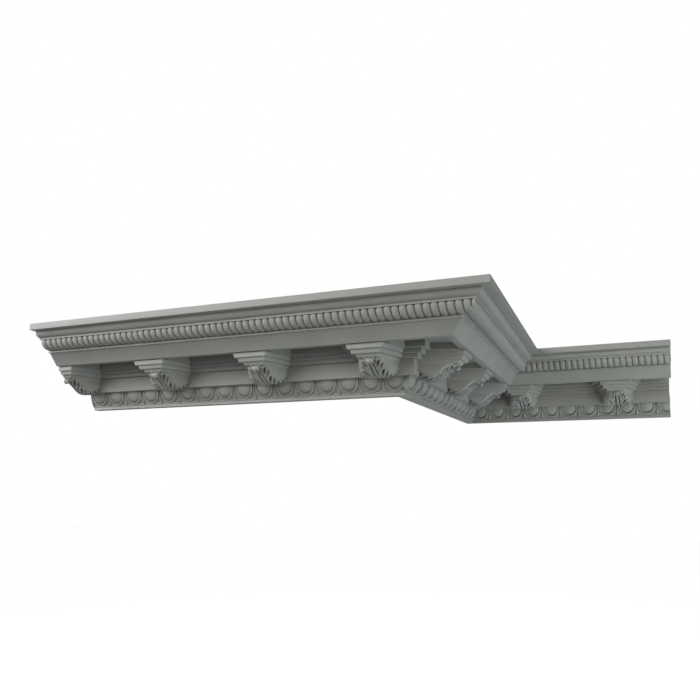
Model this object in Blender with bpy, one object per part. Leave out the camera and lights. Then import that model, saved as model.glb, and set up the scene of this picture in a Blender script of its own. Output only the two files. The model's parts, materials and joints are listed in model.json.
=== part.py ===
"""Modillion cornice, breakfront length: three mitred runs and nine planted modillions.

Metres, +Z up. The left run faces -Y, the return faces +X and the right run faces -Y again.
The origin is the middle of the left run's flat back, where the cornice is fixed to the wall.
Every run is first made in its own frame: X along the run, -Y out from the wall, Z up from the
bottom edge. A profile point is written as (out, up).
"""

import math

import bmesh
import bpy
from mathutils import Matrix, Vector

# Setting out along the wall
EGG_PITCH = 0.0736
EGGS_PER_BAY = 5
LEFT_BAYS = 3
RETURN_BAYS = 2
RIGHT_BAYS = 1
OUTER_CORNER_TO_MODILLION = 0.034
INNER_CORNER_TO_MODILLION = 0.252
RIGHT_END_PAST_MODILLION = 0.196
MITRE = 45

# Bottom fillet and egg-and-dart ovolo
FOOT_OUT = 0.0285
FOOT_HEIGHT = 0.0088
EGG_BAND_HEIGHT = 0.047
EGG_BAND_TOP_OUT = 0.0525
EGG_BAND_BULGE = 0.0045
EGG_GROUND_DEPTH = 0.006
EGG_GROUND_STEPS = 2
EGG_HALF_WIDTH = 0.0245
EGG_HALF_LENGTH = 0.0290
EGG_HALF_THICKNESS = 0.0105
EGG_CENTRE_BELOW_TOP = 0.0060
EGG_SEGMENTS = 8
EGG_RINGS = 4
SHELL_HALF_WIDTH = 0.0285
SHELL_BELOW_EGG = 0.0035
SHELL_HALF_THICKNESS = 0.0032
SHELL_STEPS = 4
CARVING_CREST_SINK = 0.001
DART_HALF_WIDTH = 0.0055
DART_LENGTH = 0.0475
DART_SHOULDER = 0.8
CORNER_LEAF_HALF_WIDTH = 0.020
CORNER_LEAF_HALF_LENGTH = 0.024
CORNER_LEAF_HALF_THICKNESS = 0.009
CORNER_LEAF_SEGMENTS = 6

# Frieze, stepped bed moulding and recessed soffit
FRIEZE_HEIGHT = 0.0475
FRIEZE_OUT = 0.072
BED_STEP_COUNT = 3
BED_STEP_OUT = 0.0157
BED_STEP_HEIGHT = 0.0125
BED_TOP_HEIGHT = 0.0205
SOFFIT_RECESS = 0.0185

# Corona, a plain splayed face above a hanging lip
LIP_INNER_OUT = 0.200
LIP_OUTER_OUT = 0.223
CORONA_LEAN = 0.0325
CORONA_HEIGHT = 0.0372
NECK_STEP = 0.008
NECK_HEIGHT = 0.0055

# Reeded ovolo
REEDS_PER_BAY = 17
REED_FOOT_OUT = 0.268
REED_LIFT = 0.0012
REED_OUT = 0.0342
REED_HEIGHT = 0.0303
REED_DEPTH = 0.0042
REED_ARC_STEPS = 2
REED_GROUND_SINK = 0.0012
REED_TOP_BURIED = 0.001

# Upper fillet, plain ovolo and crown fillet
UPPER_FILLET_OUT = 0.3055
UPPER_FILLET_HEIGHT = 0.0050
OVOLO_RADIUS = 0.0183
OVOLO_FOOT_OUT = 0.307
OVOLO_LIFT = 0.0014
OVOLO_STEPS = 4
CROWN_OUT = 0.3505
CROWN_HEIGHT = 0.0205

# Modillion: each cap step is (set back from the lip's face at its top and at its bottom),
# then its half widths there
CAP_STEP_0 = ((0.0210, 0.0210), (0.0710, 0.0710))
CAP_STEP_1 = ((0.0091, 0.0115), (0.0550, 0.0520))
CAP_STEP_2 = ((0.0177, 0.0235), (0.0450, 0.0430))
CAP_STEP_3 = ((0.0296, 0.0378), (0.0345, 0.0293))
CAP_STEP_1_RISE = 0.0008
CAP_STEP_3_HEIGHT = 0.0090
BODY_SET_IN = 0.0004
FLANK_SPLAY = 0.28
# Body outlines, from the wall round to the front, as (out from the frieze, down from its top)
BODY_FLANK = (
    (-0.0045, 0.0033),
    (0.0005, 0.0158),
    (0.0175, 0.0363),
    (0.0405, 0.0495),
    (0.0590, 0.0373),
    (0.0810, 0.0098),
    (0.1030, -0.0002),
)
BODY_CENTRE = (
    (-0.0120, 0.0233),
    (-0.0120, 0.0503),
    (0.0080, 0.0536),
    (0.0290, 0.0540),
    (0.0520, 0.0460),
    (0.0800, 0.0300),
    (0.1060, 0.0110),
)
# Places across the body, as shares of its half width: rib's foot, leaf and plain margin
RIB_EDGE = 0.14
LEAF_MIDDLE = 0.50
MARGIN_EDGE = 0.86
LEAF_LOBE_DEPTH = 0.0036
RIB_HEIGHT = 0.0030
KNOB_OUT = 0.1045
KNOB_DROP = 0.0195
KNOB_RADIUS = 0.0095
KNOB_HALF_WIDTH = 0.0100
KNOB_SIDES = 8

# Paint
PAINT_COLOUR = (0.235, 0.250, 0.232)
PAINT_ROUGHNESS = 0.75

# Fits
JOINT_GAP = 0.0003
OVERLAP = 0.004

# Levels worked out from the heights above
EGG_TOP = FOOT_HEIGHT + EGG_BAND_HEIGHT
FRIEZE_TOP = EGG_TOP + FRIEZE_HEIGHT
BED_TOP = FRIEZE_TOP + (BED_STEP_COUNT - 1) * BED_STEP_HEIGHT
BED_OUT = FRIEZE_OUT + BED_STEP_COUNT * BED_STEP_OUT
SOFFIT_UP = BED_TOP + BED_TOP_HEIGHT
LIP_UP = SOFFIT_UP - SOFFIT_RECESS
CORONA_TOP = LIP_UP + CORONA_HEIGHT
CORONA_TOP_OUT = LIP_OUTER_OUT + CORONA_LEAN
NECK_OUT = CORONA_TOP_OUT + NECK_STEP
NECK_TOP = CORONA_TOP + NECK_HEIGHT
REED_FOOT_UP = NECK_TOP + REED_LIFT
UPPER_FILLET_UP = REED_FOOT_UP + REED_HEIGHT
UPPER_FILLET_TOP = UPPER_FILLET_UP + UPPER_FILLET_HEIGHT
OVOLO_FOOT_UP = UPPER_FILLET_TOP + OVOLO_LIFT
CROWN_UP = OVOLO_FOOT_UP + OVOLO_RADIUS
TOTAL_HEIGHT = CROWN_UP + CROWN_HEIGHT

# Lengths measured along the wall
BAY = EGG_PITCH * EGGS_PER_BAY
REED_PITCH = BAY / REEDS_PER_BAY
LEFT_LENGTH = LEFT_BAYS * BAY + OUTER_CORNER_TO_MODILLION
RETURN_LENGTH = OUTER_CORNER_TO_MODILLION + RETURN_BAYS * BAY + INNER_CORNER_TO_MODILLION
RIGHT_LENGTH = INNER_CORNER_TO_MODILLION + RIGHT_BAYS * BAY + RIGHT_END_PAST_MODILLION

WALL_CORNER = Vector((LEFT_LENGTH / 2, 0.0, -TOTAL_HEIGHT / 2))


def clear_scene():
    for obj in list(bpy.data.objects):
        bpy.data.objects.remove(obj, do_unlink=True)


def new_collection(name):
    collection = bpy.data.collections.new(name)
    bpy.context.scene.collection.children.link(collection)
    return collection


def painted(name, colour, roughness):
    """A matt paint in linear colour."""
    material = bpy.data.materials.new(name)
    material.use_nodes = True
    shader = material.node_tree.nodes["Principled BSDF"]
    shader.inputs["Base Color"].default_value = (*colour, 1.0)
    shader.inputs["Roughness"].default_value = roughness
    shader.inputs["Metallic"].default_value = 0.0
    return material


def object_from(name, bm, collection):
    bmesh.ops.recalc_face_normals(bm, faces=bm.faces[:])
    mesh = bpy.data.meshes.new(name)
    bm.to_mesh(mesh)
    bm.free()
    obj = bpy.data.objects.new(name, mesh)
    collection.objects.link(obj)
    return obj


def as_guide(obj):
    obj.hide_render = True
    obj.display_type = "WIRE"
    return obj


def boolean(target, tool, operation):
    modifier = target.modifiers.new(f"{operation.lower()}_{tool.name}", "BOOLEAN")
    modifier.operation = operation
    modifier.solver = "EXACT"
    modifier.object = tool


def arc(centre, radii, start, end, steps):
    """Points on an ellipse, both ends included, angles in degrees from straight out."""
    points = []
    for i in range(steps + 1):
        angle = math.radians(start + (end - start) * i / steps)
        points.append((centre[0] + radii[0] * math.cos(angle), centre[1] + radii[1] * math.sin(angle)))
    return points


def bowed(start, end, bulge, steps):
    """Points on a parabola from start to end, standing proud of the chord by bulge."""
    run, rise = end[0] - start[0], end[1] - start[1]
    length = math.hypot(run, rise)
    points = []
    for i in range(steps + 1):
        t = i / steps
        proud = 4 * bulge * t * (1 - t)
        across, along = proud * rise / length, proud * run / length
        points.append((start[0] + run * t + across, start[1] + rise * t - along))
    return points


def reed_arc(inset, above):
    """The ovolo's quarter ellipse, sunk by inset and ending above the upper fillet's underside."""
    height = REED_HEIGHT + above
    return arc(
        (REED_FOOT_OUT, REED_FOOT_UP + height),
        (REED_OUT - inset, height - inset),
        -90,
        0,
        REED_ARC_STEPS,
    )


def run_profile():
    """The section of a run without its carving, from the wall's bottom edge round to its top."""
    profile = [(0.0, 0.0), (FOOT_OUT, 0.0)]
    profile += bowed(
        (FOOT_OUT, FOOT_HEIGHT),
        (EGG_BAND_TOP_OUT - EGG_GROUND_DEPTH, EGG_TOP),
        EGG_BAND_BULGE / 2,
        EGG_GROUND_STEPS,
    )
    profile.append((FRIEZE_OUT, EGG_TOP))
    for i in range(BED_STEP_COUNT):
        level = FRIEZE_TOP + i * BED_STEP_HEIGHT
        profile.append((FRIEZE_OUT + i * BED_STEP_OUT, level))
        profile.append((FRIEZE_OUT + (i + 1) * BED_STEP_OUT, level))
    profile += [
        (BED_OUT, SOFFIT_UP),
        (LIP_INNER_OUT, SOFFIT_UP),
        (LIP_INNER_OUT, LIP_UP),
        (LIP_OUTER_OUT, LIP_UP),
        (CORONA_TOP_OUT, CORONA_TOP),
        (NECK_OUT, CORONA_TOP),
        (NECK_OUT, NECK_TOP),
    ]
    profile += reed_arc(REED_DEPTH + REED_GROUND_SINK, 0.0)
    profile += [
        (UPPER_FILLET_OUT, UPPER_FILLET_UP),
        (UPPER_FILLET_OUT, UPPER_FILLET_TOP),
        (OVOLO_FOOT_OUT, UPPER_FILLET_TOP),
    ]
    profile += arc((OVOLO_FOOT_OUT, CROWN_UP), (OVOLO_RADIUS, OVOLO_RADIUS), -90, 0, OVOLO_STEPS)
    profile += [(CROWN_OUT, CROWN_UP), (CROWN_OUT, TOTAL_HEIGHT), (0.0, TOTAL_HEIGHT)]
    return profile


def extruded(outline, start, end):
    """The outline, drawn across the run, pulled along it from start to end."""
    bm = bmesh.new()
    face = bm.faces.new([bm.verts.new((start, -out, up)) for out, up in outline])
    pulled = bmesh.ops.extrude_face_region(bm, geom=[face])
    moved = [item for item in pulled["geom"] if isinstance(item, bmesh.types.BMVert)]
    bmesh.ops.translate(bm, verts=moved, vec=(end - start, 0.0, 0.0))
    return bm


def skin(bm, rings):
    """Faces between rings of vertices that follow one another, closed at both ends."""
    count = len(rings[0])
    for ring, following in zip(rings, rings[1:]):
        for i in range(count):
            j = (i + 1) % count
            bm.faces.new((ring[i], ring[j], following[j], following[i]))
    bm.faces.new(rings[0])
    bm.faces.new(rings[-1])


def loft(sections):
    """A closed body over sections that all have the same number of points."""
    bm = bmesh.new()
    skin(bm, [[bm.verts.new(point) for point in section] for section in sections])
    return bm


def reed_section(inset):
    """The reeded ovolo, its face sunk by inset, with its back buried in the run."""
    face = reed_arc(inset, REED_TOP_BURIED)
    back = REED_FOOT_OUT - OVERLAP
    return [(back, REED_FOOT_UP + inset)] + face + [(back, face[-1][1])]


def reed_band(start, end):
    """Ridges and grooves turn by turn along the run."""
    sections = []
    half = REED_PITCH / 2
    for i in range(math.ceil((end - start) / half) + 1):
        inset = REED_DEPTH if i % 2 else 0.0
        sections.append([(start + i * half, -out, up) for out, up in reed_section(inset)])
    return loft(sections)


def egg_band_point(below_top, proud):
    """A point of the egg band's face, so far below its top edge and proud of its curve."""
    top = Vector((EGG_BAND_TOP_OUT, EGG_TOP))
    foot = Vector((FOOT_OUT, FOOT_HEIGHT))
    along = foot - top
    t = below_top / along.length
    normal = Vector((-along.y, along.x)).normalized()
    point = top + along * t + normal * (4 * EGG_BAND_BULGE * t * (1 - t) + proud)
    return point.x, point.y


def egg_band_frame():
    """Turns X across, Y down the band's slope and Z proud of it into the run's own axes."""
    top = Vector((0.0, -EGG_BAND_TOP_OUT, EGG_TOP))
    foot = Vector((0.0, -FOOT_OUT, FOOT_HEIGHT))
    down = (foot - top).normalized()
    across = Vector((1.0, 0.0, 0.0))
    proud = across.cross(down)
    return Matrix((across, down, proud)).transposed().to_4x4()


def eggs(centres):
    bm = bmesh.new()
    out, up = egg_band_point(EGG_CENTRE_BELOW_TOP, -EGG_HALF_THICKNESS)
    size = Matrix.Diagonal((EGG_HALF_WIDTH, EGG_HALF_LENGTH, EGG_HALF_THICKNESS, 1.0))
    for centre in centres:
        place = Matrix.Translation((centre, -out, up)) @ egg_band_frame() @ size
        bmesh.ops.create_uvsphere(
            bm, u_segments=EGG_SEGMENTS, v_segments=EGG_RINGS, radius=1.0, matrix=place
        )
    return bm


def corner_leaf(centre):
    """A plump leaf over the mitre of an outside corner, half of it on either run."""
    bm = bmesh.new()
    out, up = egg_band_point(CORNER_LEAF_HALF_LENGTH, -CORNER_LEAF_HALF_THICKNESS / 2)
    size = (CORNER_LEAF_HALF_WIDTH, CORNER_LEAF_HALF_LENGTH, CORNER_LEAF_HALF_THICKNESS)
    place = Matrix.Translation((centre, -out, up)) @ egg_band_frame() @ Matrix.Diagonal((*size, 1.0))
    bmesh.ops.create_uvsphere(
        bm, u_segments=CORNER_LEAF_SEGMENTS, v_segments=CORNER_LEAF_SEGMENTS, radius=1.0, matrix=place
    )
    return bm


def shell_rims(centres):
    """A thin ridge that hangs round each egg like a U."""
    bm = bmesh.new()
    drop = EGG_HALF_LENGTH + SHELL_BELOW_EGG
    buried = -EGG_GROUND_DEPTH - OVERLAP / 2
    for centre in centres:
        rings = []
        for i in range(SHELL_STEPS + 1):
            angle = math.pi * i / SHELL_STEPS
            across, hang = -math.cos(angle), math.sin(angle)
            below = EGG_CENTRE_BELOW_TOP + drop * hang if 0 < i < SHELL_STEPS else -OVERLAP
            ring = []
            for side, proud in ((-1, buried), (0, -CARVING_CREST_SINK), (1, buried)):
                out, up = egg_band_point(below + side * SHELL_HALF_THICKNESS * hang, proud)
                shift = across * (SHELL_HALF_WIDTH + side * SHELL_HALF_THICKNESS)
                ring.append(bm.verts.new((centre + shift, -out, up)))
            rings.append(ring)
        skin(bm, rings)
    return bm


def darts(centres):
    """A narrow ridge between two shells, widest low down and coming to a point."""
    bm = bmesh.new()
    buried = -EGG_GROUND_DEPTH - OVERLAP
    for centre in centres:
        rings = []
        for below, half, crest in (
            (-OVERLAP / 2, DART_HALF_WIDTH / 2, 0.0),
            (DART_LENGTH * DART_SHOULDER, DART_HALF_WIDTH, 0.0),
            (DART_LENGTH, DART_HALF_WIDTH / 8, -EGG_GROUND_DEPTH),
        ):
            ring = []
            for side, proud in ((-1, buried), (0, crest), (1, buried)):
                out, up = egg_band_point(below, proud)
                ring.append(bm.verts.new((centre + side * half, -out, up)))
            rings.append(ring)
        skin(bm, rings)
    return bm


def end_cutter(name, along, turn, direction, guides):
    """A block whose near face is the end of a run: square at turn 0, a mitre at plus or minus 45."""
    size = 2.0
    bm = bmesh.new()
    bmesh.ops.create_cube(bm, size=size)
    back_off = size / 2 - JOINT_GAP / 2 if turn else size / 2
    bmesh.ops.translate(bm, verts=bm.verts[:], vec=(direction * back_off, 0.0, 0.0))
    spin = Matrix.Rotation(math.radians(turn), 4, "Z")
    bmesh.ops.transform(bm, verts=bm.verts[:], matrix=Matrix.Translation((along, 0.0, 0.0)) @ spin)
    return as_guide(object_from(name, bm, guides))


def make_run(name, start, end, first_dart, corner, collection, guides, place):
    """start and end are (position on the wall, turn of the cut); corner is an outside mitre's."""
    low = start[0] - (CROWN_OUT if start[1] else 0.0) - OVERLAP
    high = end[0] + (CROWN_OUT if end[1] else 0.0) + OVERLAP
    run = object_from(name, extruded(run_profile(), low, high), collection)
    first = math.ceil((low - first_dart) / EGG_PITCH)
    last = math.floor((high - first_dart) / EGG_PITCH)
    dart_centres = [first_dart + i * EGG_PITCH for i in range(first, last + 1)]
    egg_centres = [centre + EGG_PITCH / 2 for centre in dart_centres]
    egg_centres = [centre for centre in egg_centres if low < centre < high]
    carvings = {"reeds": reed_band(low - REED_PITCH, high + REED_PITCH)}
    if corner is not None:
        side = math.copysign(1.0, first_dart - corner)
        mitre = corner - side * EGG_BAND_TOP_OUT
        egg_centres = [centre for centre in egg_centres if side * (centre - mitre) > 0]
        dart_centres = [centre for centre in dart_centres if side * (centre - corner) > 0]
        carvings["corner_leaf"] = corner_leaf(mitre + side * CORNER_LEAF_HALF_THICKNESS)
    carvings["eggs"] = eggs(egg_centres)
    carvings["shells"] = shell_rims(egg_centres)
    carvings["darts"] = darts(dart_centres)
    for what, bm in carvings.items():
        boolean(run, as_guide(object_from(f"{name}_{what}", bm, guides)), "UNION")
    boolean(run, end_cutter(f"{name}_start_cut", start[0], start[1], -1, guides), "DIFFERENCE")
    boolean(run, end_cutter(f"{name}_end_cut", end[0], end[1], 1, guides), "DIFFERENCE")
    for obj in [run] + [guide for guide in guides.objects if guide.name.startswith(name + "_")]:
        obj.parent = place
    return run


def cap_step(setbacks, half_widths, low, high):
    """A block whose front leans and whose flanks splay toward the wall."""
    rear = FRIEZE_OUT + BODY_CENTRE[0][0]
    bm = bmesh.new()
    rings = []
    for setback, half, up in ((setbacks[1], half_widths[1], low), (setbacks[0], half_widths[0], high)):
        out = LIP_OUTER_OUT - setback
        spread = half + FLANK_SPLAY * (out - rear)
        ring = ((-spread, rear), (-half, out), (half, out), (spread, rear))
        rings.append([bm.verts.new((x, -reach, up)) for x, reach in ring])
    skin(bm, rings)
    return bm


def console_body():
    """The scrolled body, rounded down to a rib along its middle, with a lobed leaf on either side."""
    inside_cap = -BED_STEP_HEIGHT / 2
    front = LIP_OUTER_OUT - CAP_STEP_3[0][1] - FRIEZE_OUT
    front_half = CAP_STEP_3[1][1] - BODY_SET_IN
    sections = []
    halves = (RIB_EDGE, LEAF_MIDDLE, MARGIN_EDGE, 1.0)
    for station in [-half for half in reversed(halves)] + [0.0, *halves]:
        blend = math.sqrt(1 - station * station)
        outline = []
        for i, (flank, centre) in enumerate(zip(BODY_FLANK, BODY_CENTRE)):
            out = flank[0] + (centre[0] - flank[0]) * blend
            drop = flank[1] + (centre[1] - flank[1]) * blend
            if station == 0:
                drop += RIB_HEIGHT * (i > 1)
            elif abs(station) == LEAF_MIDDLE:
                drop += -LEAF_LOBE_DEPTH / 2 if i % 2 else LEAF_LOBE_DEPTH / 2
            outline.append((out, drop))
        outline += [(BODY_FLANK[-1][0], inside_cap), (BODY_FLANK[0][0], inside_cap)]
        section = []
        for out, drop in outline:
            half = front_half + FLANK_SPLAY * (front - out)
            section.append((half * station, -FRIEZE_OUT - out, FRIEZE_TOP - drop))
        sections.append(section)
    return loft(sections)


def scroll_knob():
    bm = bmesh.new()
    turn = Matrix.Rotation(math.radians(90), 4, "Y")
    bmesh.ops.create_cone(
        bm,
        cap_ends=True,
        segments=KNOB_SIDES,
        radius1=KNOB_RADIUS,
        radius2=KNOB_RADIUS,
        depth=2 * KNOB_HALF_WIDTH,
        matrix=Matrix.Translation((0.0, -FRIEZE_OUT - KNOB_OUT, FRIEZE_TOP - KNOB_DROP)) @ turn,
    )
    return bm


def seat():
    """The run's frieze, bed steps, recess and lip, grown by the joint's gap."""
    profile = [(0.0, EGG_TOP - JOINT_GAP), (FRIEZE_OUT + JOINT_GAP, EGG_TOP - JOINT_GAP)]
    for i in range(BED_STEP_COUNT):
        level = FRIEZE_TOP + i * BED_STEP_HEIGHT - JOINT_GAP
        profile.append((FRIEZE_OUT + i * BED_STEP_OUT + JOINT_GAP, level))
        profile.append((FRIEZE_OUT + (i + 1) * BED_STEP_OUT + JOINT_GAP, level))
    profile += [
        (BED_OUT + JOINT_GAP, SOFFIT_UP - JOINT_GAP),
        (LIP_INNER_OUT - JOINT_GAP, SOFFIT_UP - JOINT_GAP),
        (LIP_INNER_OUT - JOINT_GAP, LIP_UP - JOINT_GAP),
        (CROWN_OUT, LIP_UP - JOINT_GAP),
        (CROWN_OUT, TOTAL_HEIGHT),
        (0.0, TOTAL_HEIGHT),
    ]
    return extruded(profile, -BAY / 2, BAY / 2)


def modillion_pattern(guides):
    """The finished mesh of one whole modillion on the middle of its seat."""
    step_1_low = FRIEZE_TOP + BED_STEP_HEIGHT
    step_2_low = FRIEZE_TOP + 2 * JOINT_GAP
    pattern = object_from("modillion_pattern", console_body(), guides)
    pieces = {
        "cap_0": cap_step(*CAP_STEP_0, BED_TOP, SOFFIT_UP),
        "cap_1": cap_step(*CAP_STEP_1, step_1_low, BED_TOP + CAP_STEP_1_RISE),
        "cap_2": cap_step(*CAP_STEP_2, step_2_low, step_1_low + 2 * JOINT_GAP),
        "cap_3": cap_step(*CAP_STEP_3, step_2_low - CAP_STEP_3_HEIGHT, step_2_low + 2 * JOINT_GAP),
        "knob": scroll_knob(),
    }
    for what, bm in pieces.items():
        boolean(pattern, as_guide(object_from(f"modillion_{what}", bm, guides)), "UNION")
    boolean(pattern, as_guide(object_from("modillion_seat", seat(), guides)), "DIFFERENCE")
    bpy.context.view_layer.update()
    finished = as_guide(pattern).evaluated_get(bpy.context.evaluated_depsgraph_get())
    return bpy.data.meshes.new_from_object(finished)


def main():
    clear_scene()
    parts = new_collection("modillion_cornice")
    guides = new_collection("cutters_and_guides")
    paint = painted("grey_green_paint", PAINT_COLOUR, PAINT_ROUGHNESS)
    outer = OUTER_CORNER_TO_MODILLION
    left_centres = [-outer - i * BAY for i in range(LEFT_BAYS, -1, -1)]
    return_centres = [outer + i * BAY for i in range(RETURN_BAYS + 1)]
    right_centres = [INNER_CORNER_TO_MODILLION + i * BAY for i in range(RIGHT_BAYS + 1)]
    walls = {
        "left": ((0.0, 0.0), 0, (-LEFT_LENGTH, 0), (0.0, MITRE), 0.0, left_centres),
        "return": ((0.0, 0.0), 90, (0.0, -MITRE), (RETURN_LENGTH, -MITRE), 0.0, return_centres),
        "right": ((0.0, RETURN_LENGTH), 0, (0.0, MITRE), (RIGHT_LENGTH, 0), None, right_centres),
    }
    pattern_mesh = modillion_pattern(guides)
    for wall, (corner, turn, start, end, outside, centres) in walls.items():
        place = bpy.data.objects.new(f"wall_{wall}", None)
        place.location = WALL_CORNER + Vector((*corner, 0.0))
        place.rotation_euler = (0.0, 0.0, math.radians(turn))
        parts.objects.link(place)
        run = make_run(f"run_{wall}", start, end, centres[0], outside, parts, guides, place)
        run.data.materials.append(paint)
        for i, centre in enumerate(centres):
            modillion = bpy.data.objects.new(f"modillion_{wall}_{i + 1}", pattern_mesh.copy())
            parts.objects.link(modillion)
            modillion.parent = place
            modillion.location = (centre, 0.0, 0.0)
            modillion.data.materials.clear()
            modillion.data.materials.append(paint)
        first, last = (bpy.data.objects[f"modillion_{wall}_{i}"] for i in (1, len(centres)))
        boolean(first, bpy.data.objects[f"run_{wall}_start_cut"], "DIFFERENCE")
        boolean(last, bpy.data.objects[f"run_{wall}_end_cut"], "DIFFERENCE")


main()
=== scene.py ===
# %% [markdown]
# # A modillion cornice, breakfront length
# Three runs of cornice are mitred round an outside and an inside corner of a wall, with nine
# modillions planted under the corona. First the imported frame is loaded.

import json
import math

import bmesh
import bpy
import numpy as np
from mathutils import Matrix, Vector

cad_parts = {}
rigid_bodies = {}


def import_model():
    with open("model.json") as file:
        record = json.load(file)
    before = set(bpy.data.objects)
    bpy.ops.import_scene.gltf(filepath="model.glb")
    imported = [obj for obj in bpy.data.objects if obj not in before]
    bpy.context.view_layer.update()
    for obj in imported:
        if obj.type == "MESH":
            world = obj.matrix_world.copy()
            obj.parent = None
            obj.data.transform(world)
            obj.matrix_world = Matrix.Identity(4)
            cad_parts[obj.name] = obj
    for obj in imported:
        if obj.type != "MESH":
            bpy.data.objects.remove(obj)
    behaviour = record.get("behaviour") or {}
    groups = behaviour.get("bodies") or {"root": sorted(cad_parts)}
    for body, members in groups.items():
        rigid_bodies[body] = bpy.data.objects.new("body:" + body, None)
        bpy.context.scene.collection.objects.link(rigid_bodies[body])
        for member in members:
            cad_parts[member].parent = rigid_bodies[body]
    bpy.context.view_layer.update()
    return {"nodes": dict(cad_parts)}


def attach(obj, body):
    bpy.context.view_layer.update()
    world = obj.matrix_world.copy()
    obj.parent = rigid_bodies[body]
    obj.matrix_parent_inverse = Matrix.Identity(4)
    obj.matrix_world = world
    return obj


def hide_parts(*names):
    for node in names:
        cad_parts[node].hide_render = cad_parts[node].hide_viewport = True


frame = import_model()

# %% [markdown]
# The setting out, in metres. Real cornices are set out from the ornament: so many eggs and so many
# reeds to a modillion bay, so that each motif meets the mitres alike. Each wall has the place of
# its corner, its turn in degrees, and the station and the saw's turn at its two ends.

# %% Sizes
EGGS_PER_BAY, REEDS_PER_BAY = 5, 17
EGG_PITCH = 0.0736
BAY = EGG_PITCH * EGGS_PER_BAY
REED_PITCH = BAY / REEDS_PER_BAY
OUTSIDE_CORNER_TO_FIRST, INSIDE_CORNER_TO_FIRST, LAST_TO_END = 0.034, 0.252, 0.196
LEFT_LENGTH = 3 * BAY + OUTSIDE_CORNER_TO_FIRST
RETURN_LENGTH = OUTSIDE_CORNER_TO_FIRST + 2 * BAY + INSIDE_CORNER_TO_FIRST
RIGHT_LENGTH = INSIDE_CORNER_TO_FIRST + BAY + LAST_TO_END
HEIGHT = 0.2497
CORNER = Vector((LEFT_LENGTH / 2, 0.0, -HEIGHT / 2))
WALLS = {
    "left": (Vector((0, 0, 0)), 0, (-LEFT_LENGTH, 0), (0.0, 45)),
    "return": (Vector((0, 0, 0)), 90, (0.0, -45), (RETURN_LENGTH, -45)),
    "right": (Vector((0, RETURN_LENGTH, 0)), 0, (0.0, 45), (RIGHT_LENGTH, 0)),
}
CENTRES = {
    "left": [-OUTSIDE_CORNER_TO_FIRST - i * BAY for i in (3, 2, 1, 0)],
    "return": [OUTSIDE_CORNER_TO_FIRST + i * BAY for i in (0, 1, 2)],
    "right": [INSIDE_CORNER_TO_FIRST, INSIDE_CORNER_TO_FIRST + BAY],
}
print("wall lengths:", LEFT_LENGTH, RETURN_LENGTH, RIGHT_LENGTH)

# %% [markdown]
# The camera was fitted to the photograph's edges: it stands low, in front of the outside corner,
# and looks up along the left run. The fit gives its focal length in pixels of the picture.

# %% Camera
SENSOR_MM, FOCAL_PIXELS, PICTURE_PIXELS = 36.0, 685.61, 700
CAMERA_FROM_CORNER = Vector((0.6191, -1.9946, -0.2618))
LOOKS_UP, LOOKS_LEFT = 0.1933, 0.3718

camera_data = bpy.data.cameras.new("camera")
camera_data.sensor_width = SENSOR_MM
camera_data.lens = FOCAL_PIXELS / PICTURE_PIXELS * SENSOR_MM
camera = bpy.data.objects.new("camera", camera_data)
camera.location = CORNER + CAMERA_FROM_CORNER
camera.rotation_euler = (math.radians(90) + LOOKS_UP, 0.0, LOOKS_LEFT)
bpy.context.scene.collection.objects.link(camera)
bpy.context.scene.camera = camera
print("camera at", list(camera.location))

# %% [markdown]
# Two helpers for every material: one turns an sRGB hex colour to linear, and one adds a node with
# its settings and links, so that a material reads as a short list.


# %% Material helpers
def linear(code):
    """An sRGB hex colour as linear RGBA."""
    parts = [int(code[i : i + 2], 16) / 255 for i in (1, 3, 5)]
    return (*[c / 12.92 if c <= 0.04045 else ((c + 0.055) / 1.055) ** 2.4 for c in parts], 1.0)


def node(tree, kind, settings=None, links=None):
    """Adds a shader node; links maps an input to a value or to another node's output."""
    added = tree.nodes.new(kind)
    for key, value in (settings or {}).items():
        setattr(added, key, value)
    for key, value in (links or {}).items():
        if isinstance(value, bpy.types.NodeSocket):
            tree.links.new(value, added.inputs[key])
        else:
            added.inputs[key].default_value = value
    return added


print("white is", linear("#FFFFFF"))

# %% [markdown]
# Cast plaster under matt oil paint. A brush leaves soft drag marks along the run and a faint
# stipple, and coats differ a little from place to place. The hollows are painted darker: partly
# dust, and partly painted shade that stands in for the shade falling in them. Oil paint has the
# usual IOR of 1.5. It is matt, so roughness is high and the highlight is weak. The stipple of a
# real brush is under 1 mm, too fine to show in the render, so it is drawn a little coarser.

# %% Paint
NOISES = {"patch": (0.09, 3.0), "speck": (0.004, 4.0), "stipple": (0.0012, 2.0)}  # size, detail
BRUSH_MARKS_PER_METRE = (12.0, 12.0, 420.0)  # 83 mm long and 2.4 mm apart
BRUSH_SHARE, BUMP_STRENGTH, BUMP_HEIGHT = 0.6, 0.25, 0.0003
PATCH_DARK, PATCH_LIGHT = 0.3, 0.7
MATT, WEAK_HIGHLIGHT = 0.6, 0.3


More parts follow.
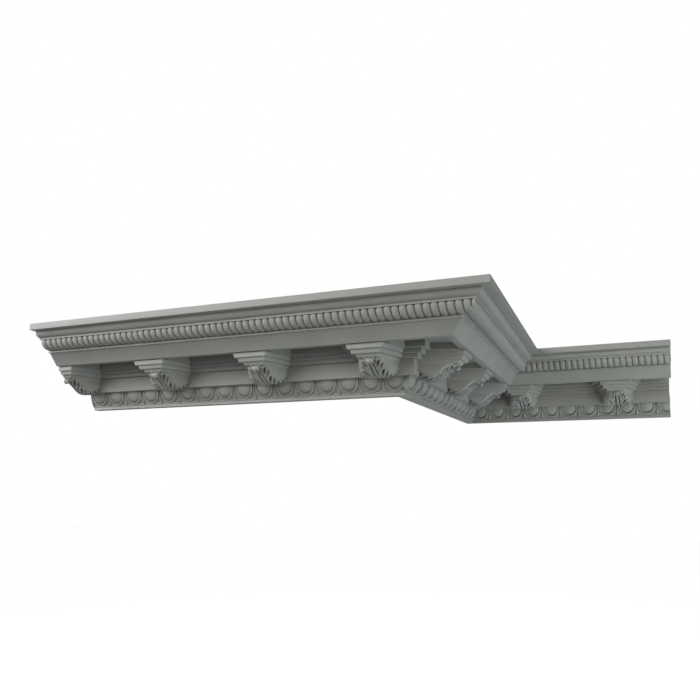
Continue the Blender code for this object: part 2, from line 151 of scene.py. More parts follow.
def painted_plaster(name, light, dark, dust_and_shade_colour):
    material = bpy.data.materials.new(name)
    material.use_nodes = True
    tree = material.node_tree
    shader = tree.nodes["Principled BSDF"]
    place = node(tree, "ShaderNodeTexCoord").outputs["Object"]
    noise = {}
    for kind, (size, detail) in NOISES.items():
        links = {"Vector": place, "Scale": 1 / size, "Detail": detail}
        noise[kind] = node(tree, "ShaderNodeTexNoise", links=links).outputs["Fac"]
    patch = node(
        tree,
        "ShaderNodeMapRange",
        links={"Value": noise["patch"], "From Min": PATCH_DARK, "From Max": PATCH_LIGHT},
    )
    coats = node(
        tree,
        "ShaderNodeMix",
        {"data_type": "RGBA"},
        {"Factor": patch.outputs["Result"], "A": linear(dark), "B": linear(light)},
    )
    hollow = node(tree, "ShaderNodeAttribute", {"attribute_name": "hollow"}).outputs["Fac"]
    # Painted shade: the deeper a point lies in the carving, the more it is darkened toward a dark
    # colour that stands for dust and for the shade that falls in the hollows.
    dust_and_shade = node(tree, "ShaderNodeMath", {"operation": "MULTIPLY"}, {0: hollow, 1: noise["speck"]})
    dusted_and_shaded = node(
        tree,
        "ShaderNodeMix",
        {"data_type": "RGBA"},
        {"Factor": dust_and_shade.outputs[0], "A": coats.outputs["Result"], "B": linear(dust_and_shade_colour)},
    )
    drag = node(tree, "ShaderNodeMapping", links={"Vector": place, "Scale": BRUSH_MARKS_PER_METRE})
    brush = node(
        tree,
        "ShaderNodeTexNoise",
        links={"Vector": drag.outputs[0], "Scale": 1.0, "Detail": 2.0},
    )
    height = node(
        tree,
        "ShaderNodeMath",
        {"operation": "MULTIPLY_ADD"},
        {0: brush.outputs["Fac"], 1: BRUSH_SHARE, 2: noise["stipple"]},
    )
    bump = node(
        tree,
        "ShaderNodeBump",
        links={"Height": height.outputs[0], "Strength": BUMP_STRENGTH, "Distance": BUMP_HEIGHT},
    )
    tree.links.new(dusted_and_shaded.outputs["Result"], shader.inputs["Base Color"])
    tree.links.new(bump.outputs["Normal"], shader.inputs["Normal"])
    shader.inputs["Roughness"].default_value = MATT
    shader.inputs["Specular IOR Level"].default_value = WEAK_HIGHLIGHT
    return material


# The third colour is the dust and painted shade of the hollows.
paint = painted_plaster("grey_green_oil_paint", "#7A7C78", "#747672", "#3E403D")
for obj in frame["nodes"].values():
    for slot in obj.material_slots:
        slot.material = paint
print("paint ready for", len(frame["nodes"]), "nodes")

# %% [markdown]
# Every piece is made in its wall's own terms, along the wall, out from it and up, and then set in
# its place. It rides on the one body, and edges sharper than a given angle stay crisp.

# %% Set a piece in its place
SMOOTH_BELOW = 38


def wall_matrix(wall):
    offset, turn = WALLS[wall][:2]
    return Matrix.Translation(CORNER + offset) @ Matrix.Rotation(math.radians(turn), 4, "Z")


def add_object(name, bm, matrix):
    """Puts a mesh in the scene in its place, riding on the root, with sharp arrises kept."""
    bmesh.ops.transform(bm, verts=bm.verts[:], matrix=matrix)
    bmesh.ops.recalc_face_normals(bm, faces=bm.faces[:])
    mesh = bpy.data.meshes.new(name)
    bm.to_mesh(mesh)
    bm.free()
    mesh.polygons.foreach_set("use_smooth", [True] * len(mesh.polygons))
    mesh.set_sharp_from_angle(angle=math.radians(SMOOTH_BELOW))
    mesh.materials.append(paint)
    obj = bpy.data.objects.new(name, mesh)
    bpy.context.scene.collection.objects.link(obj)
    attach(obj, "root")
    return obj


def triangles(obj):
    return sum(len(polygon.vertices) - 2 for polygon in obj.data.polygons)


print("the return stands at", list(wall_matrix("return").translation))

# %% [markdown]
# A real run is cast in a long mould, and its ends are then sawn square or to a mitre. Here a closed
# section is repeated at stations along the wall, joined into a skin, sawn and capped. A run that
# has a mitre on its far side starts long enough for the saw to pass through the whole section.

# %% Sweep and saw
SAW_MARGIN, MITRE_REACH, SAWN_OFF = 0.01, 0.36, 0.00002


def sweep(sections, hollow=None):
    """sections is an array of rings (stations, points, 3); returns a closed mesh.

    hollow gives each point's depth in the carving, from 0 on a crest to 1 in a groove; the paint
    darkens deep points with dust and painted shade.
    """
    bm = bmesh.new()
    layer = bm.verts.layers.float.new("hollow")
    stations, count = sections.shape[:2]
    verts = [bm.verts.new(point) for point in sections.reshape(-1, 3)]
    for vert, value in zip(verts, [] if hollow is None else hollow.reshape(-1)):
        vert[layer] = value
    for i in range(stations - 1):
        here, there = verts[i * count : (i + 1) * count], verts[(i + 1) * count : (i + 2) * count]
        for j in range(count):
            k = (j + 1) % count
            bm.faces.new((here[j], here[k], there[k], there[j]))
    bm.faces.new(verts[:count])
    bm.faces.new(verts[-count:])
    return bm


def saw(bm, along, turn, direction, back=SAWN_OFF):
    """Cuts an end off, square or at a mitre, and caps it."""
    normal = Matrix.Rotation(math.radians(turn), 3, "Z") @ Vector((direction, 0, 0))
    point = Vector((along, 0, 0)) - normal * back
    geom = bm.verts[:] + bm.edges[:] + bm.faces[:]
    cut = bmesh.ops.bisect_plane(bm, geom=geom, plane_co=point, plane_no=normal, clear_outer=True)
    edges = [item for item in cut["geom_cut"] if isinstance(item, bmesh.types.BMEdge)]
    bmesh.ops.edgeloop_fill(bm, edges=edges)


def reach_of(wall):
    """The furthest stations that a run's section can need before it is sawn."""
    start, end = WALLS[wall][2:]
    low = start[0] - (MITRE_REACH if start[1] == -45 else SAW_MARGIN)
    high = end[0] + (MITRE_REACH if end[1] == 45 else SAW_MARGIN)
    return low, high


def run_object(name, wall, sections, hollow=None):
    bm = sweep(sections, hollow)
    for (along, turn), direction in zip(WALLS[wall][2:], (-1, 1)):
        saw(bm, along, turn, direction)
    obj = add_object(name, bm, wall_matrix(wall))
    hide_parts(f"run_{wall}")
    return obj


print("stations before sawing:", {wall: reach_of(wall) for wall in WALLS})

# %% [markdown]
# The plain section, read off both square ends: bottom fillet, frieze, three bed steps, a recessed
# soffit behind the hanging lip, the splayed corona, its neck fillet, the upper fillet, a plain
# ovolo and the crown. A point is (out from the wall, up from the bottom).

# %% Sizes of the section
FOOT_OUT, FOOT_UP = 0.0285, 0.0088
BAND_TOP_OUT, BAND_TOP_UP = 0.0525, 0.0558
FRIEZE_OUT, FRIEZE_TOP = 0.072, 0.1033
BED_STEPS = 3
STEP_OUT, STEP_UP = 0.0157, 0.0125
BED_TOP = FRIEZE_TOP + 2 * STEP_UP
SOFFIT_UP = BED_TOP + 0.0205
LIP_UP = SOFFIT_UP - 0.0185
LIP_IN, LIP_OUT = 0.200, 0.223
CORONA_TOP_OUT, CORONA_TOP_UP = 0.2555, LIP_UP + 0.0372
NECK_SPLAY, NECK_DROP = 0.0035, 0.0008
NECK_OUT, NECK_TOP = 0.2635, CORONA_TOP_UP + 0.0055
REED_OUT, REED_UP = 0.268, NECK_TOP + 0.0012
REED_REACH, REED_RISE = 0.0342, 0.0278
FILLET_OUT, FILLET_UP = 0.3055, REED_UP + 0.0303
FILLET_TOP = FILLET_UP + 0.0050
OVOLO_OUT, OVOLO_UP, OVOLO_RADIUS = 0.307, FILLET_TOP + 0.0014, 0.0183
CROWN_OUT, CROWN_UP = 0.3505, OVOLO_UP + 0.0183
STRIP_BED, REED_BED = 0.014, 0.006
print("the lip hangs", SOFFIT_UP - LIP_UP, "m; the crown is", HEIGHT - CROWN_UP, "m high")

# %% [markdown]
# The core of each run is that section swept plain, with its arrises eased a little, as paint and
# handling do. The beds of the egg-and-dart strip and of the reeded strip are left open for the
# carved strips to fill, so that the carving can have its own fine stations.

# %% Plain core of the runs
OVOLO_FACETS, CORE_STATIONS = 12, 9
ARRIS, ARRIS_SHARE, ARRIS_FULL = 0.0008, 0.35, 0.55
SHARP_TURN, OFF_THE_WALL = 0.3, 0.001


def softened(points, radius):
    """Rounds the outward corners of a section a little."""
    result = []
    count = len(points)
    for i, here in enumerate(points):
        before, after = Vector(points[i - 1]), Vector(points[(i + 1) % count])
        here = Vector(here)
        into, out_of = here - before, after - here
        turn = into.normalized().cross(out_of.normalized())
        reach = min(radius, into.length * ARRIS_SHARE, out_of.length * ARRIS_SHARE)
        if turn > SHARP_TURN and here.x > OFF_THE_WALL:
            a, b = here - into.normalized() * reach, here + out_of.normalized() * reach
            middle = (a + b) / 2 * (1 - ARRIS_FULL) + here * ARRIS_FULL
            result += [tuple(a), tuple(middle), tuple(b)]
        else:
            result.append(tuple(here))
    return result


def bed_steps(gap):
    """The bed steps' points, from the frieze up, each moved out and down by the gap."""
    points = []
    for i in range(BED_STEPS):
        points.append((FRIEZE_OUT + i * STEP_OUT + gap, FRIEZE_TOP + i * STEP_UP - gap))
        points.append((FRIEZE_OUT + (i + 1) * STEP_OUT + gap, FRIEZE_TOP + i * STEP_UP - gap))
    return points


core_section = [(0.0, 0.0), (FOOT_OUT, 0.0), (FOOT_OUT, FOOT_UP), (FOOT_OUT - STRIP_BED, FOOT_UP)]
core_section += [(BAND_TOP_OUT - STRIP_BED, BAND_TOP_UP), (FRIEZE_OUT, BAND_TOP_UP), *bed_steps(0)]
core_section += [
    (FRIEZE_OUT + BED_STEPS * STEP_OUT, SOFFIT_UP),
    (LIP_IN, SOFFIT_UP),
    (LIP_IN, LIP_UP),
    (LIP_OUT, LIP_UP),
    (CORONA_TOP_OUT, CORONA_TOP_UP),
    (CORONA_TOP_OUT + NECK_SPLAY, CORONA_TOP_UP + NECK_DROP),
    (NECK_OUT, CORONA_TOP_UP + NECK_DROP),
    (NECK_OUT, NECK_TOP),
    (REED_OUT - REED_BED, NECK_TOP),
    (REED_OUT - REED_BED, FILLET_UP),
    (FILLET_OUT, FILLET_UP),
    (FILLET_OUT, FILLET_TOP),
    (OVOLO_OUT, FILLET_TOP),
    (OVOLO_OUT, OVOLO_UP),
]
for i in range(1, OVOLO_FACETS + 1):
    angle = math.radians(-90 + 90 * i / OVOLO_FACETS)
    core_section.append(
        (OVOLO_OUT + OVOLO_RADIUS * math.cos(angle), CROWN_UP + OVOLO_RADIUS * math.sin(angle))
    )
core_section += [(CROWN_OUT, CROWN_UP), (CROWN_OUT, HEIGHT), (0.0, HEIGHT)]
core_section = softened(core_section, ARRIS)

for wall in WALLS:
    xs = np.linspace(*reach_of(wall), CORE_STATIONS)
    rings = np.array([[(x, -out, up) for out, up in core_section] for x in xs])
    core = run_object(f"run_{wall}_core", wall, rings)
    print(core.name, triangles(core), "triangles")

# %% [markdown]
# The reeded strip. The real one is cast as a row of half-round reeds that climb round a quarter of
# an ellipse. One reed is a formula, so the strip is a grid of points that sink toward each groove,
# and most at the reeds' ends, where the grooves open into small dark notches.

# %% Reeded ovolo
REED_DEPTH, REED_SQUARENESS = 0.0064, 2.4
REED_CURVE_ROWS, REED_TOP_ROWS = 18, 3
STATIONS_PER_REED = 14
NOTCH_TOP, NOTCH_FOOT, NOTCH_REACH = 0.45, 0.55, 0.2
FOOT_SUNK, FOOT_REACH = 0.20, 0.08


def stations_through(low, high, pitch, origin, per_pitch):
    """Stations that fall on every multiple of pitch from origin, and evenly between."""
    step = pitch / per_pitch
    first = math.floor((low - origin) / step)
    last = math.ceil((high - origin) / step)
    return origin + step * np.arange(first, last + 1)


def reed_sections(low, high, origin):
    """Rings of the strip, and how deep each point lies in a groove."""
    xs = stations_through(low, high, REED_PITCH, origin, STATIONS_PER_REED)
    across = np.abs(((xs - origin) / REED_PITCH) % 1.0 * 2 - 1)[:, None]
    turn = np.radians(np.linspace(-90, 0, REED_CURVE_ROWS))
    climb = np.linspace(0, FILLET_UP - REED_UP - REED_RISE, REED_TOP_ROWS + 1)[1:]
    cosine = np.concatenate([np.cos(turn), np.ones(REED_TOP_ROWS)])[None, :]
    sine = np.concatenate([np.sin(turn), np.zeros(REED_TOP_ROWS)])[None, :]
    rise = np.concatenate([np.zeros(REED_CURVE_ROWS), climb])[None, :]
    rows = REED_CURVE_ROWS + REED_TOP_ROWS
    along = np.linspace(0, 1, rows)[None, :]
    from_top = along / NOTCH_REACH - (1 / NOTCH_REACH - 1)
    notch = NOTCH_FOOT * np.clip(1 - along / NOTCH_REACH, 0, 1) ** 2
    notch = notch + NOTCH_TOP * np.clip(from_top, 0, 1) ** 2
    groove = 1 - np.sqrt(1 - np.clip(across * (1 + notch), 0, 1) ** REED_SQUARENESS)
    foot = FOOT_SUNK * np.clip(1 - along / FOOT_REACH, 0, 1)
    inset = REED_DEPTH * np.clip(groove + foot, 0, 1)
    sections = np.zeros((len(xs), rows + 2, 3))
    sections[:, :, 0] = xs[:, None]
    sections[:, :rows, 1] = -REED_OUT - (REED_REACH - inset) * cosine
    sections[:, :rows, 2] = REED_UP + REED_RISE + (REED_RISE - inset) * sine + rise
    back = REED_OUT - REED_BED
    sections[:, rows, 1:] = (-back, FILLET_UP)
    sections[:, rows + 1, 1:] = (-back, REED_UP)
    hollow = np.zeros(sections.shape[:2])
    hollow[:, :rows] = groove
    return sections, hollow


for wall in WALLS:
    low, high = reach_of(wall)
    reeds = run_object(f"run_{wall}_reeds", wall, *reed_sections(low, high, CENTRES[wall][0]))
    print(reeds.name, triangles(reeds), "triangles")

# %% [markdown]
# Two helpers for carving in numbers: an even run of points on a smooth curve, for outlines, and a
# smooth rise from 0 to 1, for anything that fades in or out.

# %% Carving helpers
CURVE_STEPS = 24


def catmull(points, count):
    """An even run of points on a smooth curve through the given ones."""
    pts = np.array(points, float)
    pts = np.vstack([2 * pts[0] - pts[1], pts, 2 * pts[-1] - pts[-2]])
    fine = []
    for i in range(1, len(pts) - 2):
        p0, p1, p2, p3 = pts[i - 1 : i + 3]
        bend, twist = 2 * p0 - 5 * p1 + 4 * p2 - p3, 3 * p1 - p0 - 3 * p2 + p3
        for t in np.linspace(0, 1, CURVE_STEPS, endpoint=False):
            fine.append(0.5 * (2 * p1 + (p2 - p0) * t + bend * t**2 + twist * t**3))
    fine = np.array(fine + [pts[-2]])
    length = np.concatenate([[0], np.cumsum(np.linalg.norm(np.diff(fine, axis=0), axis=1))])
    even = np.linspace(0, length[-1], count)
    return np.stack([np.interp(even, length, fine[:, k]) for k in range(fine.shape[1])], axis=1)


def ramp_up(value, start, end):
    """0 before start, 1 after end and a smooth rise between."""
    t = np.clip((value - start) / (end - start), 0, 1)
    return t * t * (3 - 2 * t)


print("halfway up the rise:", ramp_up(0.5, 0, 1))

# %% [markdown]
# The egg-and-dart strip. Each egg is cut level by the frieze above it and hangs in a thin shell,
# with a narrow dart between shells that swells to an arrowhead at its foot. The whole strip is one
# height field over the ovolo's curve, because every form on it is an oval or a taper that numpy can
# measure from the nearest egg. A leaf covers the mitre of an outside corner.

# %% Egg-and-dart sizes
OVOLO_LINE = [
    (BAND_TOP_OUT, BAND_TOP_UP),
    (0.0510, 0.0508),
    (0.0471, 0.0376),
    (0.0416, 0.0241),
    (0.0343, 0.0122),
    (FOOT_OUT, FOOT_UP),
]
BAND_ROWS, STATIONS_PER_EGG, STRIP_MARGIN = 44, 72, 0.06
EGG_HALF_WIDTH, EGG_CENTRE_UP, EGG_DROP = 0.0258, 0.0500, 0.0268
EGG_THICKNESS, EGG_PROUD = 0.0090, 0.0024
SHELL_INNER, SHELL_OUTER, SHELL_EDGE = (0.0280, 0.0322), (0.0322, 0.0366), 0.0010
PIT_SIDE, PIT_FOOT, RIM_SUNK = 0.0030, 0.0074, 0.0003
GROUND, GROUND_DROP, GROUND_DROP_BELOW, GROUND_DROP_REACH = 0.0038, 0.0014, 0.032, 0.012
DART_UP = [0.0115, 0.0175, 0.0240, 0.0560]
DART_HALF = [0.0004, 0.0046, 0.0022, 0.0020]
DART_CREST = 1.1
LEAF_HALF, LEAF_LENGTH, LEAF_PROUD = 0.021, 0.042, 0.0030
SWELL_START, SWELL_SPAN, LEAF_THINNEST = 0.12, 0.86, 1e-4
LOBES, LOBE_DEPTH = 19, 0.14
LEAF_VEIN, VEIN_SLANT, VEIN_RIPPLE = 0.0021, 6, 0.0011
FLAT_FOOT_UP, FLAT_FOOT_REACH = 0.0098, 0.0035
print("the eggs stand", EGG_PITCH - 2 * SHELL_OUTER[0], "m apart, shell to shell")


# %% Egg-and-dart
def oval(x, below, size):
    """1 on a U whose round foot is half an ellipse and whose sides run straight up."""
    half, drop = size
    return np.where(below > 0, np.hypot(x / half, below / drop), x / half)


def corner_leaf(side, up):
    """Share of full height, and the veins' ripple, of a leaf whose middle is the mitre."""
    t = np.clip((BAND_TOP_UP - up) / LEAF_LENGTH, 0, 1)
    swell = np.sin(np.pi * np.clip(t * SWELL_SPAN + SWELL_START, 0, 1))
    width = LEAF_HALF * swell * (1 + LOBE_DEPTH * np.cos(t * LOBES))
    inside = np.clip(1 - side / np.maximum(width, LEAF_THINNEST), 0, 1)
    return inside, np.cos(side / LEAF_VEIN + t * VEIN_SLANT) * inside


def egg_relief(egg_x, dart_x, up):
    """Height over the ovolo's curve at a distance from an egg's middle and from a dart's."""
    below = EGG_CENTRE_UP - up
    inner, outer = oval(egg_x, below, SHELL_INNER), oval(egg_x, below, SHELL_OUTER)
    pit = PIT_SIDE + (PIT_FOOT - PIT_SIDE) * np.clip(below / SHELL_INNER[1], 0, 1) ** 2
    ground = GROUND + GROUND_DROP * ramp_up(GROUND_DROP_BELOW - up, 0, GROUND_DROP_REACH)
    relief = np.where(inner < 1, -pit, -ground)
    to_inner, to_outer = (inner - 1) * SHELL_INNER[0], (1 - outer) * SHELL_OUTER[0]
    rim = np.clip(np.minimum(to_inner, to_outer) / SHELL_EDGE + 0.5, 0, 1)
    relief = relief * (1 - rim) - RIM_SUNK * rim
    egg = np.clip(1 - oval(egg_x, below, (EGG_HALF_WIDTH, EGG_DROP)) ** 2, 0, 1)
    dome = EGG_THICKNESS * (np.sqrt(egg) - 1) + EGG_PROUD
    relief = np.where(egg > 0, np.maximum(relief, dome), relief)
    blade = np.clip(1 - dart_x / np.interp(up[0], DART_UP, DART_HALF)[None, :], 0, 1)
    crest = GROUND * (DART_CREST * np.sqrt(blade) - 1)
    return np.where(blade > 0, np.maximum(relief, crest), relief)


def egg_sections(low, high, origin, corner):
    """Rings of the strip, and how deep each point lies in the carving."""
    xs = stations_through(low, high, EGG_PITCH, origin, STATIONS_PER_EGG)
    line = catmull(OVOLO_LINE, BAND_ROWS)
    ridge, up = line[:, 0][None, :], line[:, 1][None, :]
    dart_x = np.abs(((xs - origin) / EGG_PITCH + 0.5) % 1.0 - 0.5)[:, None] * EGG_PITCH
    relief = egg_relief(EGG_PITCH / 2 - dart_x, dart_x, up)
    if corner:
        inside, veins = corner_leaf(np.abs(corner * ridge - xs[:, None]), up)
        leaf = -GROUND + (GROUND + LEAF_PROUD) * np.sqrt(inside) + VEIN_RIPPLE * veins
        relief = np.where(inside > 0, leaf, relief)
    relief = relief * np.clip((up - FLAT_FOOT_UP) / FLAT_FOOT_REACH, 0, 1)
    sections = np.zeros((len(xs), BAND_ROWS + 2, 3))
    sections[:, :, 0] = xs[:, None]
    sections[:, :BAND_ROWS, 1] = -ridge - relief
    sections[:, :BAND_ROWS, 2] = up
    sections[:, BAND_ROWS, 1:] = (STRIP_BED - FOOT_OUT, FOOT_UP)
    sections[:, BAND_ROWS + 1, 1:] = (STRIP_BED - BAND_TOP_OUT, BAND_TOP_UP)
    hollow = np.zeros(sections.shape[:2])
    hollow[:, :BAND_ROWS] = np.clip(-relief / PIT_FOOT, 0, 1) ** 2
    return sections, hollow


for wall, corner in (("left", 1), ("return", -1), ("right", 0)):
    low, high = reach_of(wall)
    start, end = WALLS[wall][2:]
    low, high = max(low, start[0] - STRIP_MARGIN), min(high, end[0] + STRIP_MARGIN)
    rings, depths = egg_sections(low, high, CENTRES[wall][0], corner)
    eggs = run_object(f"run_{wall}_eggs", wall, rings, depths)
    print(eggs.name, triangles(eggs), "triangles")

# %% [markdown]
# A modillion has a cap of stepped slabs that follow the bed steps, and a scrolled console body
# whose underside and front are covered by an acanthus leaf under a small roll. The slabs widen
# toward the wall. They are joined, and then cut to sit on the bed, with exact Booleans, because
# that is how a joiner would scribe a block to its bed. Each step has its setback from the lip and
# its half width, at its upper and at its lower edge.

# %% Modillion cap
STEP_0 = ((0.0210, 0.0210), (0.0710, 0.0710))
STEP_1 = ((0.0091, 0.0115), (0.0550, 0.0520))
STEP_2 = ((0.0177, 0.0235), (0.0450, 0.0430))
STEP_3 = ((0.0296, 0.0378), (0.0345, 0.0293))
STEP_3_DROP, STEP_LAP = 0.0090, 0.0008
SPLAY = 0.28
REAR = FRIEZE_OUT - 0.012
GAP = 0.0003
PAST_CROWN = 0.36


def slab(setbacks, halves, low, high):
    rings = []
    for setback, half, up in ((setbacks[1], halves[1], low), (setbacks[0], halves[0], high)):
        out = LIP_OUT - setback
        spread = half + SPLAY * (out - REAR)
        corners = [(-spread, REAR), (-half, out), (half, out), (spread, REAR)]
        rings.append([(x, -y, up) for x, y in corners])
    return sweep(np.array(rings))


def plain_object(name, bm):
    bmesh.ops.recalc_face_normals(bm, faces=bm.faces[:])
    mesh = bpy.data.meshes.new(name)
    bm.to_mesh(mesh)
    bm.free()
    obj = bpy.data.objects.new(name, mesh)
    bpy.context.scene.collection.objects.link(obj)
    return obj


def combine(name, steps):
    """Joins and cuts meshes in turn with exact Booleans; steps are (operation, mesh)."""
    target = plain_object(name, steps[0][1])
    tools = []
    for i, (operation, bm) in enumerate(steps[1:]):
        tool = plain_object(f"{name}_{i}", bm)
        modifier = target.modifiers.new(f"step_{i}", "BOOLEAN")
        modifier.operation, modifier.solver, modifier.object = operation, "EXACT", tool
        tools.append(tool)
    bpy.context.view_layer.update()
    evaluated = target.evaluated_get(bpy.context.evaluated_depsgraph_get())
    mesh = bpy.data.meshes.new_from_object(evaluated)
    for obj in tools + [target]:
        bpy.data.objects.remove(obj, do_unlink=True)
    result = bmesh.new()
    result.from_mesh(mesh)
    return result


def seat_mesh():
    """The run itself, a hair larger, which the cap is scribed to."""
    seat = [(0.0, BAND_TOP_UP - GAP), (FRIEZE_OUT + GAP, BAND_TOP_UP - GAP), *bed_steps(GAP)]
    seat += [
        (FRIEZE_OUT + BED_STEPS * STEP_OUT + GAP, SOFFIT_UP - GAP),
        (LIP_IN - GAP, SOFFIT_UP - GAP),
        (LIP_IN - GAP, LIP_UP - GAP),
        (PAST_CROWN, LIP_UP - GAP),
        (PAST_CROWN, HEIGHT),
        (0.0, HEIGHT),
    ]
    return sweep(np.array([[(x, -out, up) for out, up in seat] for x in (-BAY / 2, BAY / 2)]))


cap = combine(
    "cap",
    [
        ("", slab(*STEP_0, BED_TOP, SOFFIT_UP)),
        ("UNION", slab(*STEP_1, FRIEZE_TOP + STEP_UP, BED_TOP + STEP_LAP)),
        ("UNION", slab(*STEP_2, FRIEZE_TOP + 2 * GAP, FRIEZE_TOP + STEP_UP + 2 * GAP)),
        ("UNION", slab(*STEP_3, FRIEZE_TOP - STEP_3_DROP, FRIEZE_TOP + 4 * GAP)),
        ("DIFFERENCE", seat_mesh()),
    ],
)
print("cap:", len(cap.faces), "faces")

# %% [markdown]
# The acanthus leaf, as a height field over the body's skin. A rib runs down the middle between two
# grooves. Fingers fan out from it toward the tip, crowned and veined, and deep slots between them
# look like dark eyes, large and small in turn. Near the tip a socket and a lip begin the curl.
# A place on it is t across the body, from -1 to 1, and v from its back, 0, to its front, 1.

# %% Acanthus leaf
RIB_HALF, RIB_PROUD = 0.105, 0.0026
STEM_GROOVE, STEM_GROOVE_HALF, STEM_GROOVE_DEPTH = 0.158, 0.048, 0.0046
LEAF_EDGE, LEAF_TIP_EDGE, LEAF_BACK_WIDER, LEAF_LOBE = 0.88, 0.74, 0.08, 0.045
TIP_FROM, TIP_TO, BACK_FROM, BACK_REACH = 0.72, 0.90, 0.48, 0.1
LEAF_LIFT, FINGER_CROWN, FINGER_VEIN, VEIN_HALF = 0.0020, 0.0022, 0.25, 0.07
EDGE_SOFT, RIB_SIDE = 0.05, (0.17, 0.22)
SLOT_PITCH, SLOT_FIRST, SLOT_SLANT = 0.113, 0.55, 0.32
SLOT_HALF, SLOT_DEPTH = (0.30, 0.20), (0.0080, 0.0040)
SLOT_MIDDLE, SLOT_REACH = (0.55, 0.68), (0.20, 0.16)
BACK_OUTWARD, BACK_LONGER, SLOT_EDGE, SLOT_THINNEST = 0.20, 0.06, (0.03, 0.06), 0.01
SEAM, SEAM_HALF = 0.0007, 0.07
SOCKET_AT, SOCKET_SIZE, SOCKET_DEPTH = (0.37, 0.845), (0.07, 0.030), 0.0045
CURL_AT, CURL_BEND, CURL_HALF, CURL_HEIGHT = 0.895, 0.05, 0.014, 0.0020
CURL_IN, CURL_OUT = (0.3, 0.45), (0.97, 0.1)


def finger_slots(w, fan, edge, toward_back):
    """How deep the slots between the fingers cut, 0 to 1, and the full depth at each place."""
    small = np.round(fan) % 2 == 1
    half, depth, middle, reach = (
        np.where(small, pair[1], pair[0])
        for pair in (SLOT_HALF, SLOT_DEPTH, SLOT_MIDDLE, SLOT_REACH)
    )
    middle = middle + BACK_OUTWARD * toward_back
    reach = reach + BACK_LONGER * toward_back
    from_slot = np.abs(fan - np.round(fan))
    taper = np.sqrt(np.clip(1 - ((w - middle) / reach) ** 2, 0, 1))
    across = from_slot / (half * np.maximum(taper, SLOT_THINNEST))
    slot = np.sqrt(np.clip(1 - across**2, 0, 1)) * taper
    return slot * ramp_up(edge + SLOT_EDGE[0] - w, 0, SLOT_EDGE[1]), depth


def leaf_relief(t, v):
    """Height of the leaf at t across the body and v from its back to its front, and its hollows."""
    w = np.abs(t)
    fan = (v - SLOT_FIRST - SLOT_SLANT * (w - 0.5)) / SLOT_PITCH
    from_slot = np.abs(fan - np.round(fan))
    toward_back = ramp_up(BACK_FROM - v, 0, BACK_REACH)
    edge = LEAF_EDGE - (LEAF_EDGE - LEAF_TIP_EDGE) * ramp_up(v, TIP_FROM, TIP_TO)
    edge = edge + LEAF_BACK_WIDER * toward_back - LEAF_LOBE * np.cos(2 * np.pi * fan)
    leaf = ramp_up(edge - w, 0, EDGE_SOFT) * ramp_up(w, *RIB_SIDE)
    crown = np.sqrt(np.clip(1 - (1 - 2 * from_slot) ** 2, 0, 1))
    vein = FINGER_VEIN * np.exp(-(((from_slot - 0.5) / VEIN_HALF) ** 2))
    slot, slot_depth = finger_slots(w, fan, edge, toward_back)
    seam = np.exp(-((from_slot / SEAM_HALF) ** 2)) * leaf
    height = leaf * (LEAF_LIFT + FINGER_CROWN * (crown - vein)) - slot_depth * slot - SEAM * seam
    groove = np.clip(1 - ((w - STEM_GROOVE) / STEM_GROOVE_HALF) ** 2, 0, 1)
    rib = np.sqrt(np.clip(1 - (w / RIB_HALF) ** 4, 0, 1))
    height = height - STEM_GROOVE_DEPTH * groove + RIB_PROUD * rib
    from_socket = [(a - at) / size for a, at, size in zip((w, v), SOCKET_AT, SOCKET_SIZE)]
    socket = np.exp(-(from_socket[0] ** 2) - from_socket[1] ** 2)
    curl = np.exp(-(((v - CURL_AT + CURL_BEND * w * w) / CURL_HALF) ** 2))
    curl = curl * ramp_up(w, *CURL_IN) * ramp_up(CURL_OUT[0] - w, 0, CURL_OUT[1])
    height = height - SOCKET_DEPTH * socket + CURL_HEIGHT * curl
    return height, np.clip(slot + groove + socket, 0, 1)


print("deepest and highest of the leaf:", SLOT_DEPTH[0], LEAF_LIFT + FINGER_CROWN)

# %% [markdown]
# The body is a scrolled bracket. Its flanks are plain, and across its underside the section is half
# an ellipse, so it is one skin between two outlines, the flank's and the middle's, each given as
# (out, up) from back to front. The leaf lifts that skin along its own normal.

# %% Modillion body
FLANK = [
    (0.0675, 0.1060),
    (0.0700, 0.0940),
    (0.0735, 0.0865),
    (0.0810, 0.0750),
    (0.0905, 0.0650),
    (0.1010, 0.0572),
    (0.1110, 0.0545),
    (0.1210, 0.0575),
    (0.1300, 0.0668),
    (0.1390, 0.0790),
    (0.1480, 0.0890),
    (0.1580, 0.0960),
    (0.1700, 0.1010),
    (0.1780, 0.1060),
]
MIDDLE = [
    (0.0605, 0.0900),
    (0.0605, 0.0700),
    (0.0610, 0.0560),
    (0.0700, 0.0525),
    (0.0820, 0.0505),
    (0.0940, 0.0498),
    (0.1080, 0.0510),
    (0.1210, 0.0558),
    (0.1340, 0.0635),
    (0.1488, 0.0735),
    (0.1600, 0.0795),
    (0.1690, 0.0850),
    (0.1790, 0.0930),
    (0.1840, 0.1050),
]
ACROSS, ALONG, SET_IN = 141, 150, 0.0004
LEAF_ROOT, LEAF_TIP, ROOT_FADE, TIP_FADE, TIP_PAST = 0.17, 0.955, 0.03, 0.03, 0.02
STEM_SHIFT = 0.09


